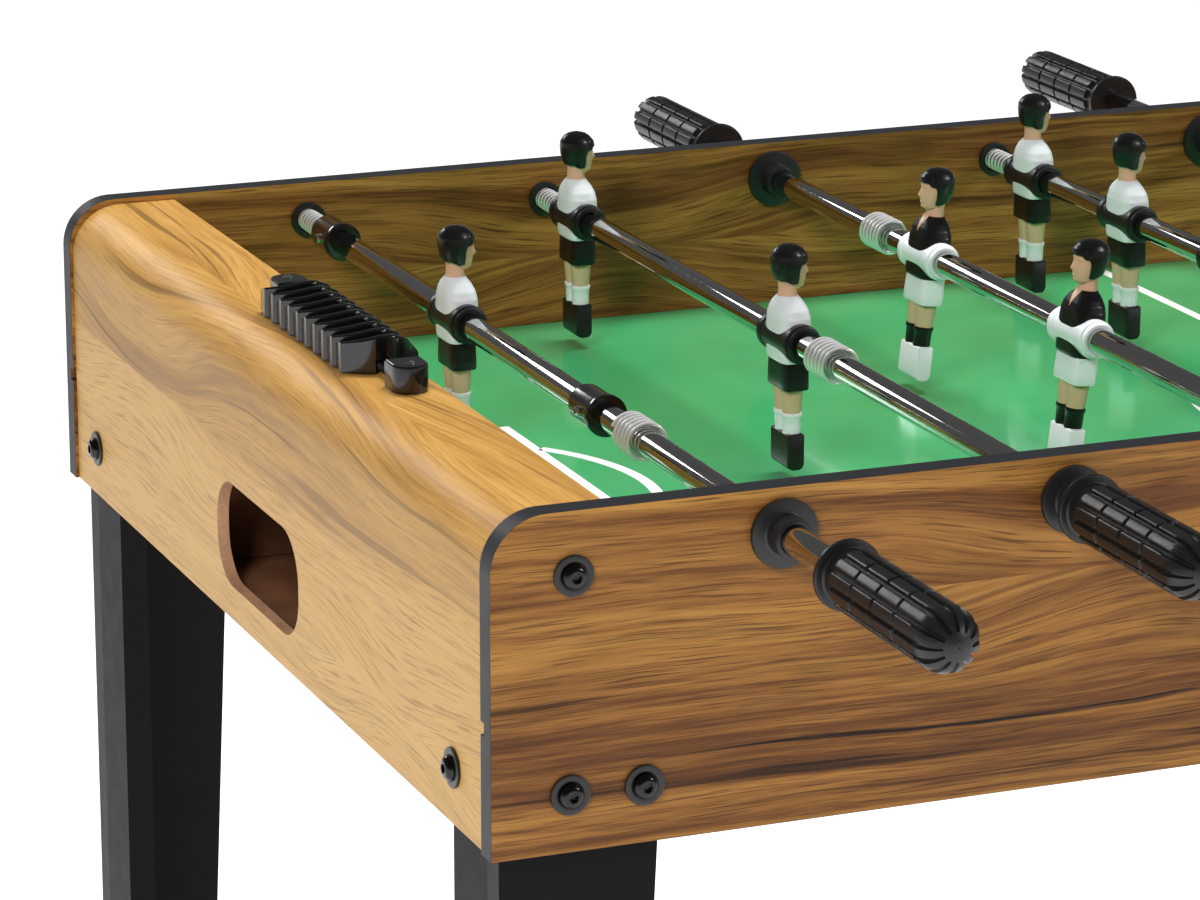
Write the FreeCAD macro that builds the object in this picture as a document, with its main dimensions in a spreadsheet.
"""Tabletop football table: a parametric FreeCAD assembly, one document object per node.

Frame: origin on the floor under the table's centre, +X along the table's length,
+Y across it and +Z up. The two ends, the two long sides and the two teams' rods
repeat by a half turn about Z, so each design is made once and placed twice.
"""
import FreeCAD, Part
import math
import os
import Sketcher

# Driving dimensions in mm. Each one is a cell of the spreadsheet.
DIMENSIONS = [
    ("table_length", 1216), ("table_width", 640), ("table_height", 800),
    ("panel_thickness", 12), ("panel_height", 150), ("corner_radius", 25),
    ("end_board_thickness", 6), ("end_board_inset", 1.8), ("end_board_recess", 3),
    ("end_top_width", 56.2), ("goal_wall_thickness", 12),
    ("playfield_level", 59.5), ("playfield_thickness", 6), ("groove_depth", 4), ("groove_clearance", 0.1),
    ("goal_width", 150), ("goal_height", 52),
    ("return_width", 124), ("return_height", 52), ("return_bottom", 17), ("return_corner", 23),
    ("tray_width", 180), ("tray_board", 6), ("tray_floor_level", 14), ("corner_block_side", 26),
    ("corner_block_height", 42), ("corner_block_drop", 2),
    ("leg_board", 14), ("leg_top_width", 75), ("leg_foot_width", 42), ("leg_return_width", 55),
    ("leg_overlap", 50),
    ("rod_spacing", 136), ("rod_drop", 20), ("tube_diameter", 12.7), ("tube_wall", 1.5),
    ("guide_clearance", 0.35), ("guide_overlap", 100), ("bearing_clearance", 0.1),
    ("guide_head_diameter", 14), ("guide_head_length", 3), ("guide_end_play", 0.3),
    ("bearing_flange", 30.6), ("bearing_flange_length", 3), ("bearing_neck", 17.5), ("bearing_neck_length", 10),
    ("cup_diameter", 19), ("cup_neck", 16), ("cup_recess_diameter", 13.6), ("cup_recess_depth", 7),
    ("end_spring_diameter", 11.6), ("end_spring_wire", 1.1),
    ("end_gap", 28), ("stop_gap", 28.5), ("handle_gap", 3),
    ("handle_length", 106), ("handle_flange", 31), ("handle_flange_length", 3), ("handle_neck", 23),
    ("handle_neck_length", 9), ("handle_barrel", 28), ("handle_cup_depth", 95),
    ("handle_groove", 1.3), ("handle_block_length", 20),
    ("spring_diameter", 19.6), ("spring_wire", 1.9), ("spring_length", 24), ("spring_gap", 18),
    ("collar_diameter", 18.4), ("collar_lip_diameter", 20), ("collar_length", 27), ("collar_lip_length", 4),
    ("collar_reach", 199), ("collar_inset", 4), ("collar_screw_diameter", 5), ("collar_screw_height", 1.4),
    ("man_head_height", 46), ("man_foot_depth", 64.5), ("man_ring", 19.5), ("man_ring_length", 40),
    ("man_torso_depth", 17), ("man_torso_width", 26), ("man_head_depth", 18.8), ("man_head_width", 15),
    ("man_boot_width", 22), ("man_boot_length", 9), ("man_boot_height", 17.5),
    ("pair_spacing", 279), ("trio_spacing", 172), ("five_spacing", 112),
    ("bolt_diameter", 6), ("bolt_head_diameter", 11.5), ("bolt_head_height", 3.3), ("bolt_socket", 4),
    ("washer_diameter", 18), ("washer_thickness", 1.6), ("washer_clearance", 0.4), ("nut_across_flats", 10),
    ("nut_height", 5), ("bolt_tail", 1.5), ("bolt_block_bite", 24),
    ("leg_bolt_level", 26), ("leg_bolt_first", 35.4), ("leg_bolt_second", 69), ("end_bolt_place", 50),
    ("upper_bolt_place", 37), ("upper_bolt_level", 122),
    ("marker_width", 38), ("marker_pitch", 12.4), ("marker_gap", 0.4), ("marker_side_height", 14.7),
    ("marker_crown_height", 18.4), ("marker_low_height", 6.4), ("marker_bow", 9), ("marker_travel", 21),
    ("counter_offset", -17.5), ("counter_inset", 42.5), ("bracket_width", 17), ("bracket_length", 18),
    ("bracket_height", 13), ("rail_side", 3), ("rail_spread", 9), ("rail_lift", 3), ("rail_clearance", 0.4),
]
MARKERS = 10
SPRING_TURNS = 6
END_SPRING_TURNS = 8
HANDLE_RIBS = 12
COLLAR_SCREW_SHARE = 0.52
# Rod number, men on it, its place between its stops at rest (1 is pushed fully in), the men's
# forward lean in degrees, and how much further out the bumper spring and the handle are set.
RODS = [
    (1, 1, 1.0, 0, 8, 5), (2, 2, 1.0, 0, 0, 0), (3, 3, 0.727, 6.5, 4, -9), (4, 5, 0.97, 0, 0, 0),
    (5, 5, 0.97, 0, 0, 0), (6, 3, 0.727, 0, 4, -9), (7, 2, 1.0, 0, 0, 0), (8, 1, 1.0, 0, 8, 5),
]
NEAR_HANDLES = (1, 2, 4, 6)
X_AXIS = FreeCAD.Vector(1, 0, 0)
Y_AXIS = FreeCAD.Vector(0, 1, 0)
Z_AXIS = FreeCAD.Vector(0, 0, 1)

doc = FreeCAD.newDocument("football_table")
sheet = doc.addObject("Spreadsheet::Sheet", "sizes")
for row, (alias, value) in enumerate(DIMENSIONS, start=1):
    sheet.set("A%d" % row, alias)
    sheet.set("B%d" % row, str(value))
    sheet.setAlias("B%d" % row, alias)
doc.recompute()


class Size:
    """A length held twice: as a number, and as the sheet formula that gives it."""

    def __init__(self, formula, value):
        self.formula = formula
        self.value = float(value)

    def joined(self, sign, other, value):
        return Size("(%s %s %s)" % (self.formula, sign, other.formula), value)

    def __add__(self, other):
        other = as_size(other)
        return self.joined("+", other, self.value + other.value)

    def __sub__(self, other):
        other = as_size(other)
        return self.joined("-", other, self.value - other.value)

    def __mul__(self, other):
        other = as_size(other)
        return self.joined("*", other, self.value * other.value)

    def __truediv__(self, other):
        other = as_size(other)
        return self.joined("/", other, self.value / other.value)

    def __neg__(self):
        return Size("(0 - %s)" % self.formula, -self.value)


def as_size(length):
    return length if isinstance(length, Size) else Size(repr(float(length)), length)


def cell(alias):
    return Size("sizes." + alias, sheet.get(alias))


S = {alias: cell(alias) for alias, value in DIMENSIONS}


def bind(item, name, length):
    item.setExpression(name, as_size(length).formula)


def place(item, at=(0, 0, 0), rotation=None):
    """Put an object at bound coordinates, turned by a fixed rotation."""
    if rotation is not None:
        item.Placement = FreeCAD.Placement(FreeCAD.Vector(0, 0, 0), rotation)
    for axis, length in zip("xyz", at):
        bind(item, "Placement.Base." + axis, length)
    return item


ALONG_Y = FreeCAD.Rotation(X_AXIS, -90)
FACING = {
    "+Y": ALONG_Y, "-Y": FreeCAD.Rotation(X_AXIS, 90),
    "+X": FreeCAD.Rotation(Y_AXIS, 90), "-X": FreeCAD.Rotation(Y_AXIS, -90),
    "+Z": FreeCAD.Rotation(),
}
HALF_TURN = FreeCAD.Rotation(Z_AXIS, 180)
NO_TURN = FreeCAD.Rotation()


def box(name, start, span):
    item = doc.addObject("Part::Box", name)
    for side, length in zip(("Length", "Width", "Height"), span):
        bind(item, side, length)
    return place(item, start)


def cylinder(name, diameter, length, at=(0, 0, 0), facing="+Z"):
    item = doc.addObject("Part::Cylinder", name)
    bind(item, "Radius", diameter / 2)
    bind(item, "Height", length)
    return place(item, at, FACING[facing])


def hexagon(name, across_flats, height, at=(0, 0, 0)):
    item = doc.addObject("Part::Prism", name)
    item.Polygon = 6
    bind(item, "Circumradius", across_flats / math.sqrt(3))
    bind(item, "Height", height)
    return place(item, at)


def cut(name, base, tool):
    item = doc.addObject("Part::Cut", name)
    item.Base = base
    item.Tool = tool
    return item


def fuse(name, shapes):
    item = doc.addObject("Part::MultiFuse", name)
    item.Shapes = shapes
    return item


def group(name, members):
    item = doc.addObject("Part::Compound", name)
    item.Links = members
    return item


def plane_of(body, role):
    return next(feature for feature in body.Origin.OriginFeatures if feature.Role == role)


def new_body(name):
    return doc.addObject("PartDesign::Body", name)


def new_sketch(body, name, role):
    sketch = body.newObject("Sketcher::SketchObject", name)
    sketch.AttachmentSupport = [(plane_of(body, role), "")]
    sketch.MapMode = "FlatFace"
    return sketch


def pin_point(sketch, geometry, end, point):
    """Fix one point of a sketch at bound distances from the sketch's origin."""
    for kind, length in zip(("DistanceX", "DistanceY"), point):
        length = as_size(length)
        index = sketch.addConstraint(Sketcher.Constraint(kind, -1, 1, geometry, end, length.value))
        sketch.setExpression("Constraints[%d]" % index, length.formula)


def vector(point):
    return FreeCAD.Vector(as_size(point[0]).value, as_size(point[1]).value, 0)


def outline(sketch, points, arcs=None):
    """A closed outline through bound points. arcs maps a side's number to (radius, centre)."""
    arcs = arcs or {}
    sides = []
    for index, point in enumerate(points):
        start = vector(point)
        finish = vector(points[(index + 1) % len(points)])
        if index in arcs:
            radius, centre = arcs[index]
            middle = (start + finish) * 0.5 - vector(centre)
            crown = vector(centre) + middle.normalize() * as_size(radius).value
            side = sketch.addGeometry(Part.Arc(start, crown, finish), False)
            sketch_radius = sketch.addConstraint(Sketcher.Constraint("Radius", side, as_size(radius).value))
            sketch.setExpression("Constraints[%d]" % sketch_radius, as_size(radius).formula)
            turns_left = (start - vector(centre)).cross(finish - vector(centre)).z > 0
            sides.append((side, 1, 2) if turns_left else (side, 2, 1))
        else:
            side = sketch.addGeometry(Part.LineSegment(start, finish), False)
            sides.append((side, 1, 2))
    for index, (side, head, tail) in enumerate(sides):
        following = sides[(index + 1) % len(sides)]
        sketch.addConstraint(Sketcher.Constraint("Coincident", side, tail, following[0], following[1]))
        pin_point(sketch, side, head, points[index])


def circle(sketch, centre, diameter):
    radius = as_size(diameter) / 2
    index = sketch.addGeometry(Part.Circle(vector(centre), Z_AXIS, radius.value), False)
    pin_point(sketch, index, 3, centre)
    constraint = sketch.addConstraint(Sketcher.Constraint("Radius", index, radius.value))
    sketch.setExpression("Constraints[%d]" % constraint, radius.formula)


def rectangle(sketch, low, high):
    outline(sketch, [low, (high[0], low[1]), high, (low[0], high[1])])


def pad(body, sketch, length):
    feature = body.newObject("PartDesign::Pad", sketch.Name + "_pad")
    feature.Profile = sketch
    bind(feature, "Length", length)
    return feature


def pocket(body, sketch, length=None):
    """Cut a sketch through the whole body, or to a bound depth along its plane's normal."""
    before = body.Tip
    doc.recompute()
    volume = before.Shape.Volume
    feature = body.newObject("PartDesign::Pocket", sketch.Name + "_pocket")
    feature.Profile = sketch
    if length is None:
        feature.Type = "ThroughAll"
        feature.Midplane = True
    else:
        bind(feature, "Length", length)
    doc.recompute()
    if feature.Shape.Volume > volume - 1e-6:
        feature.Reversed = not feature.Reversed
        doc.recompute()
    if feature.Shape.Volume > volume - 1e-6:
        raise RuntimeError(feature.Name + " cuts nothing")
    return feature


# Places that several pieces share, measured in the table's frame.
panel_base = S["table_height"] - S["panel_height"]
inner_half_width = S["table_width"] / 2 - S["panel_thickness"]
rod_level = S["table_height"] - S["rod_drop"]
first_rod = (S["table_length"] - S["rod_spacing"] * 7) / 2
end_face = S["table_length"] / 2 - S["end_board_inset"]
end_inner_face = end_face - S["end_board_thickness"]
end_board_top = S["table_height"] - S["end_board_recess"]
goal_wall_back = end_face - S["end_top_width"] + S["goal_wall_thickness"]
goal_wall_front = end_face - S["end_top_width"]
playfield_top = panel_base + S["playfield_level"]
playfield_bottom = playfield_top - S["playfield_thickness"]


def rod_place(number):
    return first_rod + S["rod_spacing"] * (number - 1)


def side_panel(name, turned):
    """A long side: a board with round top corners, the rods' holes and the playfield's groove.

    Its own frame has X along the board from its left end and Z up from its lower edge.
    """
    body = new_body(name)
    face = new_sketch(body, name + "_outline", "XZ_Plane")
    length, height, radius = S["table_length"], S["panel_height"], S["corner_radius"]
    outline(face, [(0, 0), (length, 0), (length, height - radius), (length - radius, height),
                   (radius, height), (0, height - radius)],
            {2: (radius, (length - radius, height - radius)), 4: (radius, (radius, height - radius))})
    board = pad(body, face, S["panel_thickness"])
    board.Reversed = True
    holes = new_sketch(body, name + "_rod_holes", "XZ_Plane")
    for number in range(1, 9):
        neck = S["bearing_neck"] if number in NEAR_HANDLES else S["cup_neck"]
        circle(holes, (rod_place(number), height - S["rod_drop"]), neck)
    for place_x, level in side_bolt_places():
        circle(holes, (place_x, level), S["bolt_diameter"] + S["washer_clearance"])
        circle(holes, (length - place_x, level), S["bolt_diameter"] + S["washer_clearance"])
    pocket(body, holes)
    groove = new_sketch(body, name + "_groove", "YZ_Plane")
    rectangle(groove, (S["panel_thickness"] - S["groove_depth"] - S["groove_clearance"],
                       S["playfield_level"] - S["playfield_thickness"]),
              (S["panel_thickness"] + S["groove_depth"], S["playfield_level"]))
    pocket(body, groove)
    side = -1 if not turned else 1
    return place(body, (S["table_length"] / 2 * side, S["table_width"] / 2 * side, panel_base),
                 HALF_TURN if turned else NO_TURN)


def side_bolt_places():
    """The bolts of one end of a long side, from the board's end and its lower edge."""
    return [(S["leg_bolt_first"], S["leg_bolt_level"]), (S["leg_bolt_second"], S["leg_bolt_level"]),
            (S["upper_bolt_place"], S["upper_bolt_level"])]


def end_board(name, turned):
    """An end: a thin board bent over the top edge, with the ball return opening.

    Its own frame has X inwards from the outer face, Y across and Z up from the lower edge.
    """
    body = new_body(name)
    profile = new_sketch(body, name + "_profile", "XZ_Plane")
    wall = S["end_board_thickness"]
    radius = S["corner_radius"]
    top = S["panel_height"] - S["end_board_recess"]
    width = S["end_top_width"]
    outline(profile, [(0, 0), (wall, 0), (wall, top - radius), (radius, top - wall), (width, top - wall),
                      (width, top), (radius, top), (0, top - radius)],
            {2: (radius - wall, (radius, top - radius)), 6: (radius, (radius, top - radius))})
    board = pad(body, profile, inner_half_width * 2)
    board.Midplane = True
    opening = new_sketch(body, name + "_opening", "YZ_Plane")
    low, high = S["return_bottom"], S["return_bottom"] + S["return_height"]
    half, corner = S["return_width"] / 2, S["return_corner"]
    outline(opening, [(corner - half, low), (half - corner, low), (half, low + corner), (half, high - corner),
                      (half - corner, high), (corner - half, high), (-half, high - corner), (-half, low + corner)],
            {1: (corner, (half - corner, low + corner)), 3: (corner, (half - corner, high - corner)),
             5: (corner, (corner - half, high - corner)), 7: (corner, (corner - half, low + corner))})
    bolt_place = S["table_width"] / 2 - S["end_bolt_place"]
    for side in (-1, 1):
        circle(opening, (bolt_place * side, S["leg_bolt_level"]), S["bolt_diameter"] + S["washer_clearance"])
    pocket(body, opening)
    side = -1 if not turned else 1
    return place(body, (end_face * side, 0, panel_base), HALF_TURN if turned else NO_TURN)


def playfield():
    """The green board, let into grooves in both long sides and open to the ball boxes at its ends."""
    body = new_body("playfield")
    face = new_sketch(body, "playfield_outline", "XY_Plane")
    half_length = goal_wall_back
    half_width = inner_half_width + S["groove_depth"]
    rectangle(face, (-half_length, -half_width), (half_length, half_width))
    pad(body, face, S["playfield_thickness"])
    return place(body, (0, 0, playfield_bottom))


def goal_wall(end):
    """One goal wall with its mouth, and the two corner blocks glued behind it."""
    name = "goal_wall_%d" % end
    height = end_board_top - S["end_board_thickness"] - playfield_top
    wall = box(name + "_board", (goal_wall_front * -1 - S["goal_wall_thickness"], -inner_half_width, playfield_top),
               (S["goal_wall_thickness"], inner_half_width * 2, height))
    mouth = box(name + "_mouth", (-goal_wall_back - S["goal_wall_thickness"], -S["goal_width"] / 2, playfield_top - 1),
                (S["goal_wall_thickness"] * 3, S["goal_width"], S["goal_height"] + 1))
    pieces = [cut(name + "_cut", wall, mouth)]
    block = S["corner_block_side"]
    block_low = end_board_top - S["end_board_thickness"] - S["corner_block_drop"] - S["corner_block_height"]
    for side, start in ((-1, -inner_half_width), (1, inner_half_width - block)):
        solid = box("%s_block_%d" % (name, side), (-goal_wall_back - block, start, block_low),
                    (block, block, S["corner_block_height"]))
        hole = cylinder("%s_hole_%d" % (name, side), S["bolt_diameter"], S["bolt_block_bite"],
                        (S["upper_bolt_place"] - S["table_length"] / 2, inner_half_width * side,
                         panel_base + S["upper_bolt_level"]), "+Y" if side < 0 else "-Y")
        pieces.append(cut("%s_glued_%d" % (name, side), solid, hole))
    return turned_copy(name, pieces, end)


def turned_copy(name, pieces, end):
    """Gather pieces made for the left end, and turn them half round for the right one."""
    return place(group(name, pieces), (0, 0, 0), HALF_TURN if end else NO_TURN)


def ball_tray(end):
    """The ball box under one goal: a floor, a back and two cheeks of bare board."""
    name = "ball_tray_%d" % end
    board = S["tray_board"]
    floor_level = panel_base + S["tray_floor_level"]
    depth = end_inner_face - goal_wall_front
    half = S["tray_width"] / 2
    rise = playfield_bottom - floor_level
    pieces = [box(name + "_floor", (-end_inner_face, -half - board, floor_level - board),
                  (depth, half * 2 + board * 2, board)),
              box(name + "_back", (-goal_wall_front - board, -half, floor_level), (board, half * 2, rise))]
    for side, start in ((-1, -half - board), (1, half)):
        pieces.append(box("%s_cheek_%d" % (name, side), (-end_inner_face, start, floor_level), (depth, board, rise)))
    return turned_copy(name, pieces, end)


def leg(name):
    """An L of two boards inside one corner. The board along the table tapers to the foot."""
    board = S["leg_board"]
    height = panel_base + S["leg_overlap"]
    top, foot = S["leg_top_width"], S["leg_foot_width"]
    body = new_body(name + "_long_board")
    face = new_sketch(body, name + "_taper", "XZ_Plane")
    outline(face, [(0, 0), (foot, 0), (top, height), (0, height)])
    slab = pad(body, face, board)
    slab.Reversed = True
    holes = new_sketch(body, name + "_bolt_holes", "XZ_Plane")
    inset = S["end_board_inset"] + S["end_board_thickness"]
    for place_x in (S["leg_bolt_first"], S["leg_bolt_second"]):
        circle(holes, (place_x - inset, panel_base + S["leg_bolt_level"]), S["bolt_diameter"])
    pocket(body, holes)
    across = box(name + "_cross_board", (0, board, 0), (board, S["leg_return_width"] - board, height))
    hole = cylinder(name + "_cross_hole", S["bolt_diameter"], board,
                    (0, S["end_bolt_place"] - S["panel_thickness"], panel_base + S["leg_bolt_level"]), "+X")
    return group(name + "_boards", [body, cut(name + "_cross", across, hole)])


def placed_leg(name, end, side):
    """Stand a leg in its corner. Opposite corners are half turns, the others mirror images."""
    boards = leg(name)
    turn = HALF_TURN if end > 0 else NO_TURN
    if end != side:
        mirror = doc.addObject("Part::Mirroring", name)
        mirror.Source = boards
        mirror.Normal = Y_AXIS
        boards = mirror
    return place(boards, (end_inner_face * end, inner_half_width * side, 0), turn)


def men_spacing(men):
    return {1: as_size(0), 2: S["pair_spacing"], 3: S["trio_spacing"], 5: S["five_spacing"]}[men]


def half_span(men):
    return men_spacing(men) * ((men - 1) / 2)


def stop_reach(men):
    """How far the rod's outermost stop stands from the middle of its men."""
    if men == 1:
        return S["collar_reach"] + S["collar_inset"] + S["end_gap"]
    return half_span(men) + S["man_ring_length"] / 2 + S["stop_gap"]


def travel(men):
    """How far the rod slides each way from the middle."""
    return inner_half_width - stop_reach(men)


bearing_tip = S["table_width"] / 2 + S["bearing_flange_length"] + S["bearing_neck_length"]


def handle_place(rod):
    """How far the handle's flange stands from the middle of the men."""
    return bearing_tip + S["handle_gap"] + travel(2) + rod[5]


def place_on_rod(item, rod, slides):
    """Move a piece from the rod's own frame to the table.

    In the rod's own frame Y runs along the rod away from its handle, and the men face +X.
    A piece that slides has its origin at the middle of the men.
    """
    number, men, share = rod[:3]
    near = number in NEAR_HANDLES
    shift = travel(men) * share if slides else as_size(0)
    return place(item, (rod_place(number) - S["table_length"] / 2, shift if near else -shift, rod_level),
                 NO_TURN if near else HALF_TURN)


def revolved(name, points, arcs=None):
    """A PartDesign solid turned about Y from an outline of (radius, place along Y)."""
    body = new_body(name)
    profile = new_sketch(body, name + "_profile", "XY_Plane")
    outline(profile, points, arcs)
    feature = body.newObject("PartDesign::Revolution", name + "_turned")
    feature.Profile = profile
    feature.ReferenceAxis = (profile, ["V_Axis"])
    feature.Angle = 360
    return body


def coil(name, diameter, wire, length, turns, start):
    """A round-wire coil spring about Y, drawn as one ring for each of its turns."""
    rings = []
    for turn in range(turns):
        ring = doc.addObject("Part::Torus", "%s_turn_%d" % (name, turn))
        bind(ring, "Radius1", (diameter - wire) / 2)
        bind(ring, "Radius2", wire / 2)
        place(ring, (0, start + wire / 2 + (length - wire) * (turn / (turns - 1)), 0), FACING["+Y"])
        rings.append(ring)
    return group(name, rings)


def tube_far_end(men):
    return inner_half_width - S["end_gap"] - travel(men)


def rod_tube(rod):
    """The chromed tube that carries the men, from inside the handle to the far end spring."""
    number, men = rod[:2]
    name = "rod_tube_%d" % number
    start = -handle_place(rod) - S["handle_cup_depth"]
    outer, inner = S["tube_diameter"], S["tube_diameter"] - S["tube_wall"] * 2
    length = tube_far_end(men) - start
    solid = cylinder(name + "_outer", outer, length, (0, start, 0), "+Y")
    hollow = cylinder(name + "_bore", inner, length, (0, start, 0), "+Y")
    return place_on_rod(cut(name, solid, hollow), rod, True)


def guide_rod(rod):
    """The inner rod that the tube slides on, headed outside the far wall, with its end spring."""
    number, men = rod[:2]
    name = "guide_rod_%d" % number
    diameter = S["tube_diameter"] - S["tube_wall"] * 2 - S["guide_clearance"] * 2
    start = tube_far_end(men) - travel(men) - S["guide_overlap"]
    head_start = S["table_width"] / 2 + S["bearing_flange_length"] + S["guide_end_play"]
    shaft = cylinder(name + "_shaft", diameter, head_start - start, (0, start, 0), "+Y")
    head = cylinder(name + "_head", S["guide_head_diameter"], S["guide_head_length"], (0, head_start, 0), "+Y")
    recess_floor = inner_half_width - S["bearing_flange_length"] + S["cup_recess_depth"]
    spring_start = tube_far_end(men) + travel(men) + S["guide_end_play"]
    spring = coil(name + "_spring", S["end_spring_diameter"], S["end_spring_wire"],
                  recess_floor - S["guide_end_play"] - spring_start, END_SPRING_TURNS, spring_start)
    return place_on_rod(group(name, [fuse(name + "_rod", [shaft, head]), spring]), rod, False)


def handle(rod):
    """A moulded grip: flange, neck and a barrel cut into blocks, ending in a dome."""
    number = rod[0]
    name = "handle_%d" % number
    bore, flange = S["tube_diameter"] / 2, S["handle_flange"] / 2
    neck, barrel = S["handle_neck"] / 2, S["handle_barrel"] / 2
    groove = S["handle_groove"]
    neck_start = -S["handle_flange_length"]
    barrel_start = neck_start - S["handle_neck_length"]
    dome_start = barrel - S["handle_length"]
    points = [(bore, 0), (flange, 0), (flange, neck_start), (neck, neck_start), (neck, barrel_start),
              (barrel, barrel_start)]
    for block in range(1, 4):
        ring = barrel_start - S["handle_block_length"] * block
        points += [(barrel, ring + groove), (barrel - groove, ring + groove), (barrel - groove, ring),
                   (barrel, ring)]
    points += [(barrel, dome_start), (0, -S["handle_length"]), (0, -S["handle_cup_depth"]),
               (bore, -S["handle_cup_depth"])]
    dome_side = len(points) - 4
    body = revolved(name, points, {dome_side: (barrel, (0, dome_start))})
    ribs = new_sketch(body, name + "_flute", "XZ_Plane")
    circle(ribs, (barrel, 0), groove * 2)
    doc.recompute()
    flute = body.newObject("PartDesign::Pocket", name + "_flute_cut")
    flute.Profile = ribs
    bind(flute, "Length", S["handle_length"] - S["handle_neck"] / 3)
    volume = body.Shape.Volume
    doc.recompute()
    if flute.Shape.Volume > volume - 1e-6:
        flute.Reversed = True
        doc.recompute()
    pattern = body.newObject("PartDesign::PolarPattern", name + "_flutes")
    pattern.Originals = [flute]
    pattern.Axis = (plane_of(body, "Y_Axis"), [""])
    pattern.Angle = 360
    pattern.Occurrences = HANDLE_RIBS
    body.Tip = pattern
    seat = group(name + "_seat", [body])
    place(seat, (0, -handle_place(rod), 0))
    return place_on_rod(group(name + "_placed", [seat]), rod, True)


def man_profile_solid(rings):
    """A solid lofted through rounded box sections given as (level, centre X, half depth, half width, roundness).

    A roundness of 1 makes each corner's arc as large as the section's shorter half side.
    """
    wires = []
    for level, centre, depth, width, roundness in rings:
        corner = min(depth, width) * roundness * 0.98
        lows = [(centre - depth, -width), (centre + depth, -width), (centre + depth, width), (centre - depth, width)]
        edges = []
        for index, (x, y) in enumerate(lows):
            before, after = lows[index - 1], lows[(index + 1) % 4]
            here = FreeCAD.Vector(x, y, level)
            back = (FreeCAD.Vector(before[0], before[1], level) - here).normalize()
            forth = (FreeCAD.Vector(after[0], after[1], level) - here).normalize()
            centre_point = here + (back + forth) * corner
            crown = centre_point - (back + forth).normalize() * corner
            arc = Part.Arc(here + back * corner, crown, here + forth * corner)
            following_back = (here - FreeCAD.Vector(after[0], after[1], level)).normalize()
            straight_end = FreeCAD.Vector(after[0], after[1], level) + following_back * corner
            edges += [arc.toShape(), Part.LineSegment(here + forth * corner, straight_end).toShape()]
        wires.append(Part.Wire(edges))
    return Part.makeLoft(wires, True, True)


def man_solid():
    """One moulded player about the rod: feet down, facing +X."""
    head, foot = S["man_head_height"].value, -S["man_foot_depth"].value
    ring, length = S["man_ring"].value / 2, S["man_ring_length"].value
    depth, width = S["man_torso_depth"].value / 2, S["man_torso_width"].value / 2
    skull_depth, skull_width = S["man_head_depth"].value / 2, S["man_head_width"].value / 2
    boot_width, boot_length = S["man_boot_width"].value, S["man_boot_length"].value
    boot_height = S["man_boot_height"].value
    shoulder, waist, hem = head * 0.47, -head * 0.23, -head * 0.53
    boot_top = foot + boot_height
    torso = man_profile_solid([
        (hem, 0, depth * 0.8, width * 0.94, 0.3), (waist - 0.1, 0, depth * 0.8, width * 0.92, 0.3),
        (waist, 0, depth * 0.94, width * 0.94, 0.5), (0, 0, depth, width, 0.6),
        (shoulder * 0.5, 0, depth, width, 0.7), (shoulder * 0.8, -0.4, depth * 0.78, width * 0.82, 0.9),
        (shoulder, -0.8, depth * 0.56, width * 0.42, 1)])
    skull = man_profile_solid([
        (shoulder - 1, -0.6, 4.7, 4.7, 1), (head * 0.56, -0.4, 4.3, 4.3, 1),
        (head * 0.58, 0.6, skull_depth * 0.66, skull_width * 0.66, 1),
        (head * 0.7, 0, skull_depth * 0.92, skull_width * 0.92, 1), (head * 0.84, -0.2, skull_depth, skull_width, 1),
        (head * 0.93, -0.4, skull_depth * 0.84, skull_width * 0.84, 1),
        (head, -0.4, skull_depth * 0.36, skull_width * 0.36, 1)])
    legs = [man_profile_solid([(boot_top - 1, 0, boot_length * 0.48, boot_width * 0.21, 0.9),
                               (hem + 1, 0, boot_length * 0.62, boot_width * 0.245, 0.9)]) for side in (-1, 1)]
    for side, limb in zip((-1, 1), legs):
        limb.translate(Y_AXIS * (side * boot_width * 0.22))
    boot = Part.makeBox(boot_length, boot_width, boot_height,
                        FreeCAD.Vector(-boot_length / 2, -boot_width / 2, foot))
    lower_edges = [edge for edge in boot.Edges
                   if edge.BoundBox.ZMax < foot + 0.01 and edge.BoundBox.YLength > boot_width / 2]
    boot = boot.makeChamfer(boot_length / 4, lower_edges)
    rings = Part.makeCylinder(ring, length, Y_AXIS * (-length / 2), Y_AXIS)
    bore = Part.makeCylinder(S["tube_diameter"].value / 2, length * 2, Y_AXIS * -length, Y_AXIS)
    return torso.multiFuse([skull, rings, boot] + legs).cut(bore)


def men(rod):
    """The players of one rod, evenly spaced about its middle."""
    number, count, share, lean = rod[:4]
    solids = []
    for index in range(count):
        solid = man.copy()
        solid.rotate(FreeCAD.Vector(0, 0, 0), Y_AXIS, -lean)
        solid.translate(Y_AXIS * (men_spacing(count).value * (index - (count - 1) / 2)))
        solids.append(solid)
    item = doc.addObject("Part::Feature", "men_%d" % number)
    item.Shape = Part.makeCompound(solids)
    return place_on_rod(item, rod, True)


def bumper_spring(rod):
    """The loose chrome spring on the handle side of the last man or collar."""
    number, count = rod[:2]
    name = "bumper_spring_%d" % number
    inside = S["collar_reach"] if count == 1 else half_span(count) + S["man_ring_length"] / 2
    start = -inside - S["spring_gap"] - rod[4] - S["spring_length"]
    item = coil(name, S["spring_diameter"], S["spring_wire"], S["spring_length"], SPRING_TURNS, start)
    return place_on_rod(item, rod, True)


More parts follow.
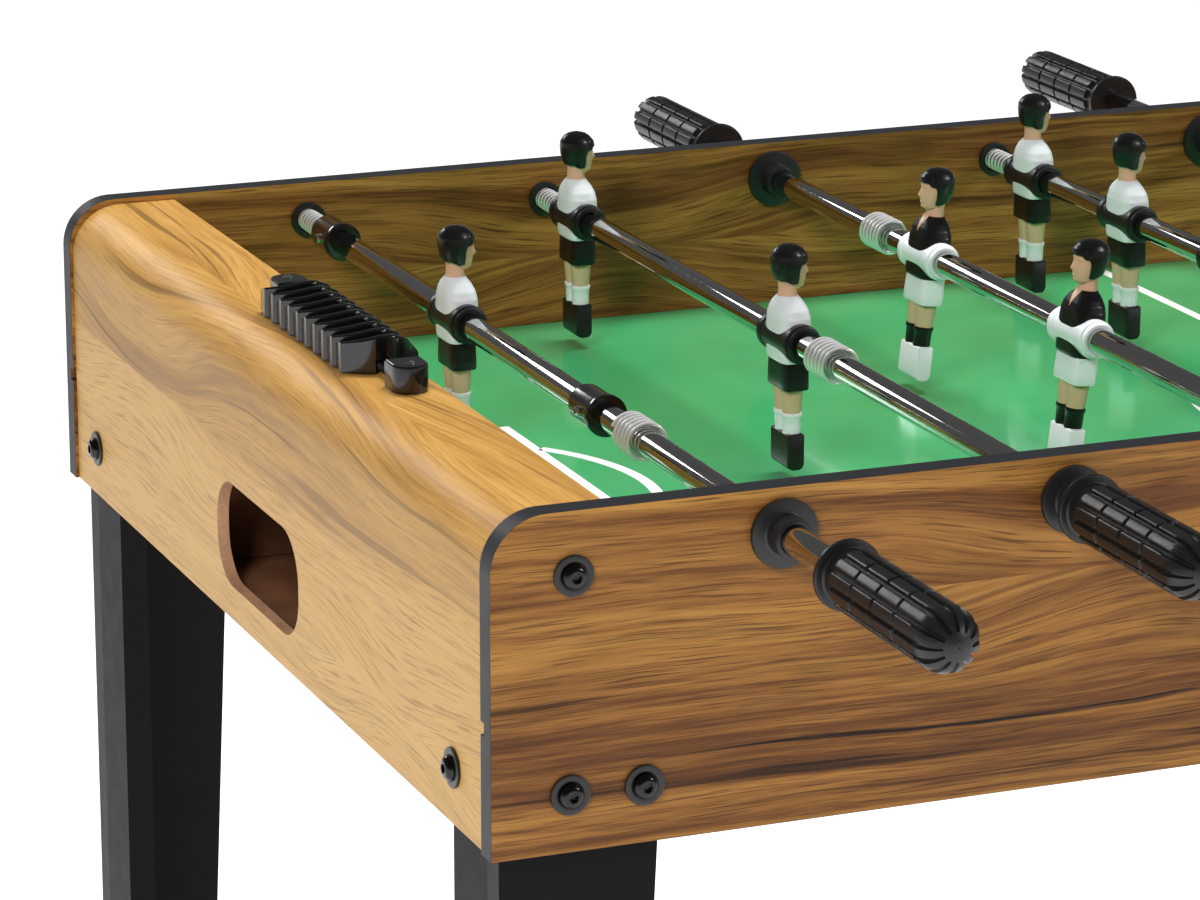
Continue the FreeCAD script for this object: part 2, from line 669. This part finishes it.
def collars(rod):
    """The keeper's two stop collars, each with a lip and a screw."""
    number = rod[0]
    name = "stop_collars_%d" % number
    pieces = []
    for side in (-1, 1):
        start = S["collar_reach"] - S["collar_length"] if side > 0 else -S["collar_reach"]
        label = "%s_%s" % (name, "near" if side < 0 else "far")
        sleeve = cylinder(label + "_sleeve", S["collar_diameter"], S["collar_length"], (0, start, 0), "+Y")
        lip = cylinder(label + "_lip", S["collar_lip_diameter"], S["collar_lip_length"], (0, start, 0), "+Y")
        bore = cylinder(label + "_bore", S["tube_diameter"], S["collar_length"], (0, start, 0), "+Y")
        screw_place = start + S["collar_length"] * COLLAR_SCREW_SHARE
        screw = cylinder(label + "_screw", S["collar_screw_diameter"],
                         S["collar_diameter"] / 2 - S["tube_diameter"] / 2 + S["collar_screw_height"],
                         (-S["tube_diameter"] / 2, screw_place, 0), "-X")
        hole = cylinder(label + "_screw_hole", S["collar_screw_diameter"], S["collar_diameter"],
                        (-S["tube_diameter"] / 4, screw_place, 0), "-X")
        body = fuse(label + "_body", [sleeve, lip])
        flush = cut(label + "_screw_seat", screw, cylinder(label + "_tube_space", S["tube_diameter"],
                    S["collar_length"], (0, start, 0), "+Y"))
        pieces.append(cut(label + "_drilled", cut(label + "_hollow", body, bore), hole))
        pieces.append(flush)
    return place_on_rod(group(name, pieces), rod, True)


def handle_bearing(rod):
    """The two flanged bushes of a rod's handle side, which meet inside the long side."""
    number = rod[0]
    bore = S["tube_diameter"] / 2 + S["bearing_clearance"]
    flange, neck = S["bearing_flange"] / 2, S["bearing_neck"] / 2
    outer_face, middle = S["table_width"] / 2, S["table_width"] / 2 - S["panel_thickness"] / 2
    inner_face = inner_half_width
    thick = S["bearing_flange_length"]
    tip = outer_face + thick + S["bearing_neck_length"]
    outer = revolved("outer_bush_%d" % number, [(bore, -middle), (neck, -middle), (neck, -outer_face),
                     (flange, -outer_face), (flange, -outer_face - thick), (neck, -outer_face - thick),
                     (neck, -tip), (bore, -tip)])
    inner_tip = inner_face - thick - S["bearing_neck_length"]
    inner = revolved("inner_bush_%d" % number, [(bore, -inner_tip), (neck, -inner_tip), (neck, thick - inner_face),
                     (flange, thick - inner_face), (flange, -inner_face), (neck, -inner_face),
                     (neck, -middle), (bore, -middle)])
    return place_on_rod(group("bearing_pair_%d" % number, [outer, inner]), rod, False)


def end_bearing(rod):
    """The small cup at a rod's other side, with flanges inside and outside the long side."""
    number = rod[0]
    guide = S["tube_diameter"] / 2 - S["tube_wall"] - S["guide_clearance"]
    bore = guide + S["bearing_clearance"]
    cup, neck, recess = S["cup_diameter"] / 2, S["cup_neck"] / 2, S["cup_recess_diameter"] / 2
    thick = S["bearing_flange_length"]
    inner_face, outer_face = inner_half_width, S["table_width"] / 2
    floor = inner_face - thick + S["cup_recess_depth"]
    body = revolved("end_cup_%d" % number, [(recess, inner_face - thick), (cup, inner_face - thick),
                    (cup, inner_face), (neck, inner_face), (neck, outer_face), (cup, outer_face),
                    (cup, outer_face + thick), (bore, outer_face + thick), (bore, floor), (recess, floor)])
    whole = group("end_cup_%d_placed" % number, [body])
    return place_on_rod(whole, rod, False)


def bolt(name, grip, nut):
    """A button-head bolt along Z, its washer's face at 0, with or without a nut at the grip's end."""
    tail = S["nut_height"] + S["bolt_tail"] if nut else as_size(0)
    reach = grip + tail
    lift = S["washer_thickness"]
    shank = cylinder(name + "_shank", S["bolt_diameter"], reach + lift, (0, 0, -reach))
    head = cylinder(name + "_head", S["bolt_head_diameter"], S["bolt_head_height"], (0, 0, lift))
    socket = hexagon(name + "_socket", S["bolt_socket"], S["bolt_head_height"] * 0.6,
                     (0, 0, lift + S["bolt_head_height"] * 0.4))
    pieces = [cut(name + "_body", fuse(name + "_blank", [shank, head]), socket)]
    if nut:
        blank = hexagon(name + "_nut_blank", S["nut_across_flats"], S["nut_height"], (0, 0, -grip - S["nut_height"]))
        thread = cylinder(name + "_nut_bore", S["bolt_diameter"], S["nut_height"], (0, 0, -grip - S["nut_height"]))
        pieces.append(cut(name + "_nut", blank, thread))
    return group(name, pieces)


def washer(name):
    plate = cylinder(name + "_plate", S["washer_diameter"], S["washer_thickness"])
    hole = cylinder(name + "_hole", S["bolt_diameter"] + S["washer_clearance"], S["washer_thickness"])
    return cut(name, plate, hole)


def bolt_list():
    """Every cabinet bolt as (place, facing, grip, has a nut)."""
    bolts = []
    leg_grip = S["panel_thickness"] + S["leg_board"]
    block_grip = S["panel_thickness"] + S["bolt_block_bite"]
    for side, facing in ((-1, "-Y"), (1, "+Y")):
        for end in (-1, 1):
            for index, (place_x, level) in enumerate(side_bolt_places()):
                at = ((S["table_length"] / 2 - place_x) * end, S["table_width"] / 2 * side, panel_base + level)
                bolts.append((at, facing, block_grip if index == 2 else leg_grip, index != 2))
    end_grip = S["end_board_thickness"] + S["leg_board"]
    for end, facing in ((-1, "-X"), (1, "+X")):
        for side in (-1, 1):
            at = (end_face * end, (S["table_width"] / 2 - S["end_bolt_place"]) * side,
                  panel_base + S["leg_bolt_level"])
            bolts.append((at, facing, end_grip, True))
    return bolts


def counter_span():
    return S["marker_pitch"] * MARKERS + S["marker_bow"] + S["marker_travel"] + S["marker_gap"]


def score_rail(end):
    """A pair of bars between two end brackets, screwed to one end board's top."""
    name = "score_rail_%d" % end
    span = counter_span()
    centre = S["counter_inset"] - S["table_length"] / 2
    start = S["counter_offset"] - span / 2
    half = S["bracket_width"] / 2
    pieces = []
    for label, low in (("near", start - S["bracket_length"]), ("far", start + span)):
        bracket = box("%s_%s" % (name, label), (centre - half, low, end_board_top),
                      (S["bracket_width"], S["bracket_length"], S["bracket_height"]))
        pieces.append(bracket)
    for label, offset in (("outer", -S["rail_spread"] / 2), ("inner", S["rail_spread"] / 2 - S["rail_side"])):
        pieces.append(box("%s_%s_bar" % (name, label), (centre + offset, start, end_board_top + S["rail_lift"]),
                          (S["rail_side"], span, S["rail_side"])))
    return turned_copy(name, [fuse(name + "_frame", pieces)], end)


def score_marker(end, index):
    """One marker: an arched tile, bowed along the rail, with a slot for the two bars.

    Its own frame has X across the rail, Y along it from the marker's flat corners and Z up.
    """
    name = "marker_%d_%d" % (end, index)
    width, bow = S["marker_width"], S["marker_bow"]
    thickness = S["marker_pitch"] - S["marker_gap"]
    half = width / 2
    bow_radius = (half * half + bow * bow) / (bow * 2)
    body = new_body(name)
    plan = new_sketch(body, name + "_plan", "XY_Plane")
    outline(plan, [(-half, 0), (half, 0), (half, thickness), (-half, thickness)],
            {0: (bow_radius, (0, bow_radius - bow)), 2: (bow_radius, (0, bow_radius - bow + thickness))})
    pad(body, plan, S["marker_crown_height"])
    sky = new_sketch(body, name + "_sky", "XZ_Plane")
    crown, side, low = S["marker_crown_height"], S["marker_side_height"], S["marker_low_height"]
    above = crown * 2
    crown_left, crown_right = width * 0.07, width * 0.1
    outline(sky, [(-half - 1, side - 0.25), (-crown_left, crown), (crown_right, crown), (half * 0.62, side),
                  (half, low), (half + 1, low), (half + 1, above), (-half - 1, above)])
    pocket(body, sky)
    slot = new_sketch(body, name + "_slot", "XZ_Plane")
    reach = S["rail_spread"] / 2 + S["rail_clearance"]
    rectangle(slot, (-reach, S["rail_lift"] - S["rail_clearance"]),
              (reach, S["rail_lift"] + S["rail_side"] + S["rail_clearance"]))
    pocket(body, slot)
    first = S["counter_offset"] - counter_span() / 2 + S["marker_travel"] + S["marker_bow"]
    return place(body, (S["counter_inset"] - S["table_length"] / 2,
                        first + S["marker_pitch"] * index + S["marker_gap"] / 2, end_board_top))


man = man_solid()
NODES = {
    "front_panel": side_panel("front_panel", False),
    "rear_panel": side_panel("rear_panel", True),
    "left_end_board": end_board("left_end_board", False),
    "right_end_board": end_board("right_end_board", True),
    "playfield": playfield(),
    "goal_walls": group("goal_walls", [goal_wall(0), goal_wall(1)]),
    "ball_trays": group("ball_trays", [ball_tray(0), ball_tray(1)]),
}
for end, side_name in ((-1, "left"), (1, "right")):
    for side, depth_name in ((-1, "front"), (1, "rear")):
        label = "leg_%s_%s" % (depth_name, side_name)
        NODES[label] = placed_leg(label, end, side)
NODES["handle_bearings"] = group("handle_bearings", [handle_bearing(rod) for rod in RODS])
NODES["end_bearings"] = group("end_bearings", [end_bearing(rod) for rod in RODS])
bolts, washers = [], []
for index, (at, facing, grip, nut) in enumerate(bolt_list()):
    bolts.append(place(bolt("bolt_%d" % index, grip, nut), at, FACING[facing]))
    washers.append(place(washer("washer_%d" % index), at, FACING[facing]))
NODES["cabinet_bolts"] = group("cabinet_bolts", bolts)
NODES["bolt_washers"] = group("bolt_washers", washers)
NODES["score_rails"] = group("score_rails", [score_rail(0), score_rail(1)])
for end, side_name in ((0, "left"), (1, "right")):
    tiles = [score_marker(end, index) for index in range(MARKERS)]
    NODES["score_markers_" + side_name] = turned_copy("score_markers_" + side_name, tiles, end)
for rod in RODS:
    number = rod[0]
    NODES["guide_rod_%d" % number] = guide_rod(rod)
    NODES["rod_tube_%d" % number] = rod_tube(rod)
    NODES["men_%d" % number] = men(rod)
    NODES["handle_%d" % number] = handle(rod)
    NODES["bumper_spring_%d" % number] = bumper_spring(rod)
    if rod[1] == 1:
        NODES["stop_collars_%d" % number] = collars(rod)

doc.recompute()
for item in doc.Objects:
    if "Invalid" in item.State or "Error" in item.State:
        raise RuntimeError("%s failed: %s" % (item.Name, item.State))
os.makedirs("parts", exist_ok=True)
for name, item in NODES.items():
    if item.Label != name:
        item.Label = name
    shape = item.Shape
    if shape.isNull() or not shape.isValid() or not shape.Solids:
        raise RuntimeError(name + " has no valid solid")
    shape.exportStep("parts/%s.step" % name)
print("%d nodes" % len(NODES))
